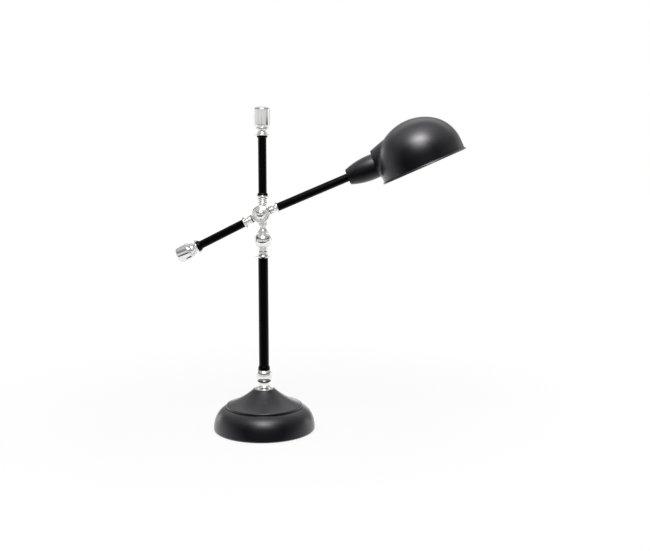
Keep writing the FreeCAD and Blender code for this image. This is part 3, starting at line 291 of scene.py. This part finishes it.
# ---------------------------------------------------------------- materials
def grained(
    name, colours, grain_mm, rough, skin_mm, depth_mm, detail=3.0, even=None, gloss=None, thread=None
):
    """A material with clouds in its colour and roughness, and a finer grain in its skin.

    colours are one sRGB hex value or the two ends of the clouds, which are grain_mm across, and
    rough holds the two roughnesses. The skin's grain is skin_mm across and depth_mm deep. even
    holds the shader's other values. gloss holds the specular levels of a coat seen straight on
    and at a slant. thread is the turn about Y that brings Z to the axis of a screw thread, and
    the thread's pitch and depth in mm.
    """
    material, tree, surface, where = blank_material(name)
    cloud = {"Vector": where, "Scale": per_metre(grain_mm), "Detail": detail, "Roughness": 0.6}
    clouds = add(tree, "ShaderNodeTexNoise", cloud).outputs["Fac"]
    between = {"Value": clouds, "To Min": rough[0], "To Max": rough[1]}
    inputs = {"Roughness": add(tree, "ShaderNodeMapRange", between).outputs["Result"]}
    if len(colours) == 1:
        inputs["Base Color"] = linear(colours[0])
    else:
        ends = [(0.25, linear(colours[0])), (0.75, linear(colours[1]))]
        ramp = add(tree, "ShaderNodeValToRGB", {"Fac": clouds}, ends)
        inputs["Base Color"] = ramp.outputs["Color"]
    fine = {"Vector": where, "Scale": per_metre(skin_mm), "Detail": detail}
    skin = add(tree, "ShaderNodeTexNoise", fine).outputs["Fac"]
    bump = {"Height": skin, "Distance": depth_mm * MM, "Strength": 1.0}
    inputs["Normal"] = add(tree, "ShaderNodeBump", bump).outputs["Normal"]
    if gloss:
        inputs.update(slanted_gloss(tree, inputs["Roughness"], gloss))
    if thread:
        inputs["Normal"] = rolled_thread(tree, where, inputs["Normal"], *thread)
    inputs.update(even or {})
    shader = add(tree, "ShaderNodeBsdfPrincipled", inputs)
    tree.links.new(shader.outputs["BSDF"], surface)
    return material


def slanted_gloss(tree, roughness, levels):
    """The shader's inputs for a coat that is glossier at a slant than straight on."""
    slant = add(tree, "ShaderNodeLayerWeight", {"Blend": 0.5}).outputs["Facing"]
    rise = {"Value": slant, "From Min": LEVEL_RISE[0], "From Max": LEVEL_RISE[1]}
    rise.update({"To Min": levels[0], "To Max": levels[1]})
    level = add(tree, "ShaderNodeMapRange", rise).outputs["Result"]
    fall = {"Value": slant, "From Min": ROUGHNESS_FALL[0], "From Max": ROUGHNESS_FALL[1]}
    fall.update({"To Min": 1.0, "To Max": ROUGHNESS_LEFT})
    share = add(tree, "ShaderNodeMapRange", fall).outputs["Result"]
    smoother = add(tree, "ShaderNodeMath", {0: roughness, 1: share}, operation="MULTIPLY")
    return {"Roughness": smoother.outputs["Value"], "Specular IOR Level": level}


def rolled_thread(tree, where, skin, turn_y, pitch_mm, depth_mm):
    """The normals of a round thread over a skin, once a turn about Y brings Z to its axis."""
    turned = {"Vector": where, "Rotation": (0.0, turn_y, 0.0)}
    axis = add(tree, "ShaderNodeMapping", turned).outputs["Vector"]
    # A wave texture has one crest each pi / 10 of its scaled coordinate.
    crests = {"Vector": axis, "Scale": per_metre(pitch_mm) * math.pi / 10}
    waves = add(tree, "ShaderNodeTexWave", crests, bands_direction="Z").outputs["Fac"]
    rolled = {"Height": waves, "Distance": depth_mm * MM, "Normal": skin}
    return add(tree, "ShaderNodeBump", rolled).outputs["Normal"]


def stove_enamel(name, colour, rough, gloss):
    """Stove enamel sprayed on spun steel: deep and even, with a soft wide highlight.

    The eye sees a slightly cloudy, faintly violet sheen, some orange peel in the highlight, and
    a coat that is darkest where it faces the eye and pales towards its edges.
    """
    return grained(
        name,
        [colour],
        grain_mm=34.0,
        rough=rough,
        skin_mm=1.6,
        depth_mm=0.006,
        detail=1.0,
        even={"IOR": 1.5, "Specular Tint": linear("#FBF8FF")},
        gloss=gloss,
    )


def baked_lacquer(colour):
    """Baked lacquer on drawn steel tube: darker and a little glossier than the enamel.

    The eye sees an even black with a thin, slightly uneven line of light along each tube.
    """
    return grained(
        "baked_black_lacquer",
        [colour],
        grain_mm=8.0,
        rough=(0.26, 0.33),
        skin_mm=4.0,
        depth_mm=0.0005,
        detail=1.0,
        even={"IOR": 1.5},
        gloss=(0.03, 0.2),
    )


def polished_chrome(name, colour, turn_y):
    """Chrome plate over turned and buffed brass: a bright, slightly cool mirror.

    The eye sees hair-fine rings round the turning axis and a trace of buffing haze. The rings
    of a real lathe are finer, and are drawn as coarse as they need to show.
    """
    material, tree, surface, where = blank_material(name)
    turned = {"Vector": where, "Rotation": (0.0, turn_y, 0.0)}
    axis = add(tree, "ShaderNodeMapping", turned).outputs["Vector"]
    split = add(tree, "ShaderNodeSeparateXYZ", {"Vector": axis})
    along = add(tree, "ShaderNodeCombineXYZ", {"X": split.outputs["Z"]}).outputs["Vector"]
    ring = {"Vector": along, "Scale": per_metre(0.35), "Detail": 2.0}
    rings = add(tree, "ShaderNodeTexNoise", ring).outputs["Fac"]
    cloud = {"Vector": axis, "Scale": per_metre(9.0), "Detail": 3.0}
    haze = add(tree, "ShaderNodeTexNoise", cloud).outputs["Fac"]
    between = {"Value": haze, "To Min": 0.05, "To Max": 0.11}
    cut = {"Height": rings, "Distance": 0.0012 * MM, "Strength": 0.6}
    inputs = {
        "Base Color": linear(colour),
        "Metallic": 1.0,
        "Roughness": add(tree, "ShaderNodeMapRange", between).outputs["Result"],
        "Normal": add(tree, "ShaderNodeBump", cut).outputs["Normal"],
    }
    shader = add(tree, "ShaderNodeBsdfPrincipled", inputs)
    tree.links.new(shader.outputs["BSDF"], surface)
    return material


def zinc_plate():
    """Bright zinc on steel hardware: a dull blue grey whose fine crystals only cloud it."""
    return grained(
        "zinc_plated_steel",
        ["#8C9094", "#B6B9BC"],
        grain_mm=2.2,
        rough=(0.3, 0.45),
        skin_mm=0.4,
        depth_mm=0.01,
        detail=4.0,
        even={"Metallic": 1.0},
    )


def drawn_brass(turn_y):
    """Drawn and rolled brass sheet: a warm dull yellow with a rolled thread and some tarnish."""
    return grained(
        "drawn_brass",
        ["#A8843E", "#D2B069"],
        grain_mm=5.0,
        rough=(0.22, 0.38),
        skin_mm=0.6,
        depth_mm=0.004,
        detail=4.0,
        even={"Metallic": 1.0},
        thread=(turn_y, THREAD_PITCH_MM, 0.5),
    )


def rolled_aluminium(turn_y):
    """Rolled aluminium of a bulb's cap: pale and dull, with round threads and light scuffs."""
    return grained(
        "rolled_aluminium",
        ["#BDBEC0", "#D2D3D4"],
        grain_mm=1.5,
        rough=(0.28, 0.46),
        skin_mm=0.5,
        depth_mm=0.008,
        detail=5.0,
        even={"Metallic": 1.0},
        thread=(turn_y, THREAD_PITCH_MM, 0.6),
    )


def painted_iron():
    """Sand-cast grey iron under a thin coat of black paint: a coarse, pitted, dull skin."""
    return grained(
        "painted_grey_iron",
        ["#1C1B1A", "#3A3836"],
        grain_mm=3.0,
        rough=(0.55, 0.8),
        skin_mm=0.9,
        depth_mm=0.15,
        detail=5.0,
    )


def vulcanised_fibre():
    """Vulcanised fibre of the washers: matte black with a faint felted grain."""
    return grained(
        "vulcanised_fibre",
        ["#121113", "#1A191B"],
        grain_mm=1.2,
        rough=(0.5, 0.7),
        skin_mm=0.5,
        depth_mm=0.02,
        detail=4.0,
        even={"Specular IOR Level": 0.35},
    )


def moulded_phenolic():
    """Moulded black phenolic: a dense dark brown-black with faint flow swirls and a soft gloss."""
    return grained(
        "moulded_phenolic",
        ["#141213", "#1E1A19"],
        grain_mm=7.0,
        rough=(0.28, 0.4),
        skin_mm=0.8,
        depth_mm=0.004,
        even={"IOR": 1.6},
    )


def glazed_steatite():
    """Glazed steatite of the contact block: dense, white and glossy with tiny specks."""
    return grained(
        "glazed_steatite",
        ["#D6D2C6", "#E8E5DC"],
        grain_mm=0.7,
        rough=(0.12, 0.22),
        skin_mm=2.0,
        depth_mm=0.01,
        detail=2.0,
        even={"IOR": 1.55},
    )


def moulded_rubber():
    """Moulded rubber of the inlet bush: dull black with a dusty bloom."""
    return grained(
        "moulded_rubber",
        ["#141416", "#1F1F22"],
        grain_mm=1.8,
        rough=(0.6, 0.8),
        skin_mm=0.7,
        depth_mm=0.02,
        detail=4.0,
        even={"Specular IOR Level": 0.3},
    )


def opal_glass(colour):
    """Opal glass of the bulb: a milky white body under a clear gloss."""
    milk = {
        "IOR": 1.5,
        "Subsurface Weight": 0.35,
        "Subsurface Radius": (0.6, 0.6, 0.55),
        "Subsurface Scale": 0.004,
    }
    return grained(
        "opal_glass",
        [colour],
        grain_mm=12.0,
        rough=(0.1, 0.16),
        skin_mm=6.0,
        depth_mm=0.004,
        detail=2.0,
        even=milk,
    )


def pressed_felt():
    """Pressed wool felt: matte charcoal with tangled fibres and a pale fuzz at its edge."""
    return grained(
        "pressed_felt",
        ["#1D1D1F", "#38383B"],
        grain_mm=1.4,
        rough=(0.9, 1.0),
        skin_mm=0.5,
        depth_mm=0.25,
        detail=6.0,
        even={"Specular IOR Level": 0.1, "Sheen Weight": 0.4, "Sheen Roughness": 0.6},
    )


# ---------------------------------------------------------------- operators
class LAMP_OT_enamel(bpy.types.Operator):
    """Puts the black enamel on the spun steel, with a white lining in the shade"""

    bl_idname = "lamp.enamel"
    bl_label = "Enamel"

    def execute(self, context):
        finish = context.scene.lamp_finish
        rough, gloss = (0.34, 0.42), (0.1, 1.0)
        black = stove_enamel("satin_black_enamel", finish.enamel, rough, gloss)
        put_on(black, ENAMELLED + ["shade"])
        rough, gloss = (0.28, 0.36), (0.1, 0.5)
        line_shade(stove_enamel("white_enamel", finish.lining, rough, gloss))
        return {"FINISHED"}


def line_shade(white):
    """The faces of the shade that look at its hollow take the white enamel."""
    mesh = frame["nodes"]["shade"].data
    mesh.materials.append(white)
    start = (node_middle("shade_ring") - PIVOT).dot(FORWARD)
    downward = Vector((FORWARD.z, 0, -FORWARD.x))
    hollow = PIVOT + FORWARD * (start + HOLLOW_AHEAD) + downward * HOLLOW_BELOW
    for face in mesh.polygons:
        if face.normal.dot(hollow - face.center) > 0:
            face.material_index = 1


class LAMP_OT_lacquer(bpy.types.Operator):
    """Puts the baked lacquer on the tubes and their ferrules"""

    bl_idname = "lamp.lacquer"
    bl_label = "Lacquer"

    def execute(self, context):
        put_on(baked_lacquer(context.scene.lamp_finish.lacquer), TUBES + FERRULES)
        return {"FINISHED"}


class LAMP_OT_chrome(bpy.types.Operator):
    """Puts polished chrome on the turned fittings, each with rings round its own axis"""

    bl_idname = "lamp.chrome"
    bl_label = "Chrome"

    def execute(self, context):
        colour = context.scene.lamp_finish.chrome
        put_on(polished_chrome("chrome_upright", colour, 0.0), POST_CHROME)
        put_on(polished_chrome("chrome_knuckle", colour, 0.0), KNUCKLE_CHROME)
        front = FRONT_RISE - math.pi / 2
        put_on(polished_chrome("chrome_front", colour, front), FRONT_CHROME)
        rear = math.pi / 2 + REAR_FALL
        put_on(polished_chrome("chrome_rear", colour, rear), REAR_CHROME)
        return {"FINISHED"}


class LAMP_OT_hardware(bpy.types.Operator):
    """Finishes the hardware, washers, ballast and lampholder"""

    bl_idname = "lamp.hardware"
    bl_label = "Hardware"

    def execute(self, context):
        put_on(zinc_plate(), ZINC_PLATED)
        put_on(drawn_brass(FRONT_RISE - math.pi / 2), ["screw_shell", "centre_contact"])
        put_on(vulcanised_fibre(), FIBRE)
        put_on(moulded_phenolic(), PHENOLIC)
        put_on(glazed_steatite(), ["contact_block"])
        put_on(painted_iron(), ["ballast_weight"])
        put_on(moulded_rubber(), ["cord_grommet"])
        return {"FINISHED"}


class LAMP_OT_bulb(bpy.types.Operator):
    """Finishes the bulb"""

    bl_idname = "lamp.bulb"
    bl_label = "Bulb"

    def execute(self, context):
        put_on(rolled_aluminium(FRONT_RISE - math.pi / 2), ["bulb_cap"])
        put_on(opal_glass(context.scene.lamp_finish.opal), ["bulb_glass"])
        return {"FINISHED"}


class LAMP_OT_pad(bpy.types.Operator):
    """Makes the felt pad that the lamp rests on"""

    bl_idname = "lamp.pad"
    bl_label = "Felt Pad"

    def execute(self, context):
        low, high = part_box("base_pad")
        radius = (high.x - low.x) / 2
        thickness = high.z - low.z
        bpy.ops.object.select_all(action="DESELECT")
        bpy.ops.mesh.primitive_cylinder_add(
            vertices=PAD_SIDES,
            radius=radius,
            depth=thickness,
            end_fill_type="TRIFAN",
            location=(0, 0, thickness / 2),
        )
        pad = context.active_object
        pad.name = "felt_pad"
        bpy.ops.object.mode_set(mode="EDIT")
        bpy.ops.mesh.select_all(action="DESELECT")
        bpy.ops.object.mode_set(mode="OBJECT")
        for edge in pad.data.edges:
            ends = [pad.data.vertices[index].co for index in edge.vertices]
            on_rim = all(end.xy.length > radius * 0.99 for end in ends)
            edge.select = on_rim and ends[0].z > 0 and ends[1].z > 0
        bpy.ops.object.mode_set(mode="EDIT")
        bpy.ops.mesh.bevel(offset=PAD_EDGE, segments=3)
        bpy.ops.object.mode_set(mode="OBJECT")
        bpy.ops.object.transform_apply(location=True, rotation=True, scale=True)
        pad.data.materials.append(pressed_felt())
        bpy.ops.object.shade_smooth_by_angle(angle=math.radians(40))
        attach(pad, "base")
        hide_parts("base_pad")
        return {"FINISHED"}


class LAMP_OT_studio(bpy.types.Operator):
    """Sets the pale floor, the soft lights, the white surroundings and the camera"""

    bl_idname = "lamp.studio"
    bl_label = "Studio"

    def execute(self, context):
        studio = context.scene.lamp_studio
        make_camera(context, studio)
        make_floor(context, studio)
        make_surroundings(context)
        make_softbox(context, "softbox", SOFTBOX_SIZE, studio.softbox)
        hot_core = make_softbox(context, "hot_core", HOT_CORE_SIZE, studio.hot_core)
        # The middle shows in gloss alone, so that the pale surfaces keep their colours.
        hot_core.visible_diffuse = False
        return {"FINISHED"}


def make_camera(context, studio):
    """The camera at the photograph's viewing angle."""
    ahead = Vector((-math.sin(studio.turn), math.cos(studio.turn), 0))
    right = Vector((math.cos(studio.turn), math.sin(studio.turn), 0))
    spot = right * studio.aside - ahead * studio.distance + Vector((0, 0, studio.height))
    aim = Euler((math.pi / 2 - studio.pitch, 0, studio.turn))
    bpy.ops.object.camera_add(location=spot, rotation=aim)
    camera = context.active_object
    camera.name = "camera"
    camera.data.lens = LENS_MM
    camera.data.sensor_width = FILM_MM
    camera.data.clip_end = CAMERA_REACH
    context.scene.camera = camera


def seen_directly(tree):
    """1 for rays from the camera, from mirrors and through glass, and 0 for other rays."""
    path = add(tree, "ShaderNodeLightPath")
    seen = path.outputs["Is Camera Ray"]
    for name in ("Is Glossy Ray", "Is Transmission Ray"):
        inputs = {0: seen, 1: path.outputs[name]}
        seen = add(tree, "ShaderNodeMath", inputs, operation="MAXIMUM").outputs["Value"]
    return seen


def make_floor(context, studio):
    """A table of pale paper that keeps a faint shadow and ends a little before the lamp."""
    bpy.ops.object.select_all(action="DESELECT")
    bpy.ops.mesh.primitive_plane_add(size=1.0)
    floor = context.active_object
    floor.name = "floor"
    back = FLOOR_SPAN - studio.front_edge
    bpy.ops.object.mode_set(mode="EDIT")
    bpy.ops.transform.resize(value=(FLOOR_SPAN, FLOOR_SPAN, 1))
    bpy.ops.transform.translate(value=(0, (back - studio.front_edge) / 2, 0))
    bpy.ops.object.mode_set(mode="OBJECT")
    material, tree, surface, where = blank_material("studio_paper")
    pulp = add(tree, "ShaderNodeTexNoise", {"Vector": where, "Scale": per_metre(3.0)})
    between = {"Value": pulp.outputs["Fac"], "To Min": 0.85, "To Max": 0.95}
    rough = add(tree, "ShaderNodeMapRange", between).outputs["Result"]
    inputs = {"Base Color": linear(studio.paper), "Roughness": rough, "Specular IOR Level": 0.0}
    paper = add(tree, "ShaderNodeBsdfPrincipled", inputs)
    shaded = add(tree, "ShaderNodeBsdfDiffuse", {"Color": linear(SHADOW_GREY)})
    # The glow rises with the distance from the post: painted light that makes up for the lamps'
    # falloff.
    away = add(tree, "ShaderNodeVectorMath", {0: where}, operation="LENGTH").outputs["Value"]
    near_far = {"Value": away, "From Min": NEAR, "From Max": FAR}
    near_far.update({"To Min": NEAR_GLOW, "To Max": FAR_GLOW})
    lift = add(tree, "ShaderNodeMapRange", near_far).outputs["Result"]
    glow = add(tree, "ShaderNodeEmission", {"Strength": lift})
    looks = {0: shaded.outputs["BSDF"], 1: glow.outputs["Emission"]}
    seen = add(tree, "ShaderNodeAddShader", looks)
    both = {0: seen_directly(tree), 1: paper.outputs["BSDF"], 2: seen.outputs["Shader"]}
    mixed = add(tree, "ShaderNodeMixShader", both)
    tree.links.new(mixed.outputs["Shader"], surface)
    floor.data.materials.append(material)


def tent_part(tree, halves, levels):
    """The product of levels that follow the axes of the way looked."""
    product = 1.0
    for axis, stops in levels.items():
        greys = [((at + 1) / 2, (grey, grey, grey, 1.0)) for at, grey in stops]
        ramp = add(tree, "ShaderNodeValToRGB", {"Fac": halves[axis]}, greys)
        inputs = {0: product, 1: ramp.outputs["Color"]}
        product = add(tree, "ShaderNodeMath", inputs, operation="MULTIPLY").outputs["Value"]
    return product


def make_surroundings(context):
    """White for the eye, a light tent for mirrors, and a dimmer fill for the rest.

    The tent is brightest at its sides. It has a grey seam each side of the white backdrop, dim
    gaps between its panels in front, a dark gap along its foot there, and a dim ceiling.
    """
    world = bpy.data.worlds.new("light_tent")
    world.use_nodes = True
    context.scene.world = world
    tree = world.node_tree
    tree.nodes.clear()
    out = add(tree, "ShaderNodeOutputWorld")
    way = add(tree, "ShaderNodeTexCoord").outputs["Generated"]
    axes = add(tree, "ShaderNodeSeparateXYZ", {"Vector": way})
    halves = {}
    for axis in "XYZ":
        inputs = {0: axes.outputs[axis], 1: 0.5, 2: 0.5}
        half = add(tree, "ShaderNodeMath", inputs, operation="MULTIPLY_ADD")
        halves[axis] = half.outputs["Value"]
    dark = 0.0
    for levels in (TENT_SEAM, TENT_STREAKS, TENT_FOOT):
        inputs = {0: dark, 1: tent_part(tree, halves, levels)}
        dark = add(tree, "ShaderNodeMath", inputs, operation="MAXIMUM").outputs["Value"]
    light = add(tree, "ShaderNodeMath", {0: 1.0, 1: dark}, operation="SUBTRACT").outputs["Value"]
    inputs = {0: tent_part(tree, halves, TENT_WALLS), 1: light}
    level = add(tree, "ShaderNodeMath", inputs, operation="MULTIPLY").outputs["Value"]
    path = add(tree, "ShaderNodeLightPath")
    white = add(tree, "ShaderNodeBackground", {"Color": linear("#FFFFFF"), "Strength": 1.0})
    walls = add(tree, "ShaderNodeBackground", {"Color": linear("#FFFFFF"), "Strength": level})
    fill = add(tree, "ShaderNodeBackground", {"Color": linear("#FFFFFF"), "Strength": FILL})
    mirror = {0: seen_directly(tree), 1: fill.outputs["Background"], 2: walls.outputs["Background"]}
    ways = add(tree, "ShaderNodeMixShader", mirror)
    seen = {0: path.outputs["Is Camera Ray"], 1: ways.outputs["Shader"], 2: white.outputs["Background"]}
    both = add(tree, "ShaderNodeMixShader", seen)
    tree.links.new(both.outputs["Shader"], out.inputs["Surface"])


def make_softbox(context, name, size, power):
    """A soft light of some width and depth that hangs in front of the lamp and looks at it."""
    turn = (SOFTBOX_AIM - SOFTBOX_SPOT).to_track_quat("-Z", "Y").to_euler()
    bpy.ops.object.light_add(type="AREA", location=SOFTBOX_SPOT, rotation=turn)
    light = context.active_object
    light.name = name
    light.data.shape = "RECTANGLE"
    light.data.size, light.data.size_y = size
    light.data.energy = power
    return light


# ---------------------------------------------------------------- panel
MAKERS = [
    LAMP_OT_enamel,
    LAMP_OT_lacquer,
    LAMP_OT_chrome,
    LAMP_OT_hardware,
    LAMP_OT_bulb,
    LAMP_OT_pad,
    LAMP_OT_studio,
]


class LAMP_PT_panel(bpy.types.Panel):
    """Lists the lamp's finishes and pieces"""

    bl_idname = "LAMP_PT_panel"
    bl_label = "Desk Lamp"
    bl_space_type = "VIEW_3D"
    bl_region_type = "UI"
    bl_category = "Desk Lamp"

    def draw(self, context):
        for group in (context.scene.lamp_finish, context.scene.lamp_studio):
            for name in group.bl_rna.properties.keys():
                if name not in ("rna_type", "name"):
                    self.layout.prop(group, name)
        for maker in MAKERS:
            self.layout.operator(maker.bl_idname)


CLASSES = [LampFinish, LampStudio] + MAKERS + [LAMP_PT_panel]


def register():
    for cls in CLASSES:
        bpy.utils.register_class(cls)
    bpy.types.Scene.lamp_finish = PointerProperty(type=LampFinish)
    bpy.types.Scene.lamp_studio = PointerProperty(type=LampStudio)


def unregister():
    del bpy.types.Scene.lamp_studio
    del bpy.types.Scene.lamp_finish
    for cls in reversed(CLASSES):
        bpy.utils.unregister_class(cls)


def main():
    register()
    bpy.context.scene.view_settings.view_transform = "Standard"
    bpy.ops.lamp.studio()
    bpy.ops.lamp.enamel()
    bpy.ops.lamp.lacquer()
    bpy.ops.lamp.chrome()
    bpy.ops.lamp.hardware()
    bpy.ops.lamp.bulb()
    bpy.ops.lamp.pad()


if __name__ == "__main__":
    main()
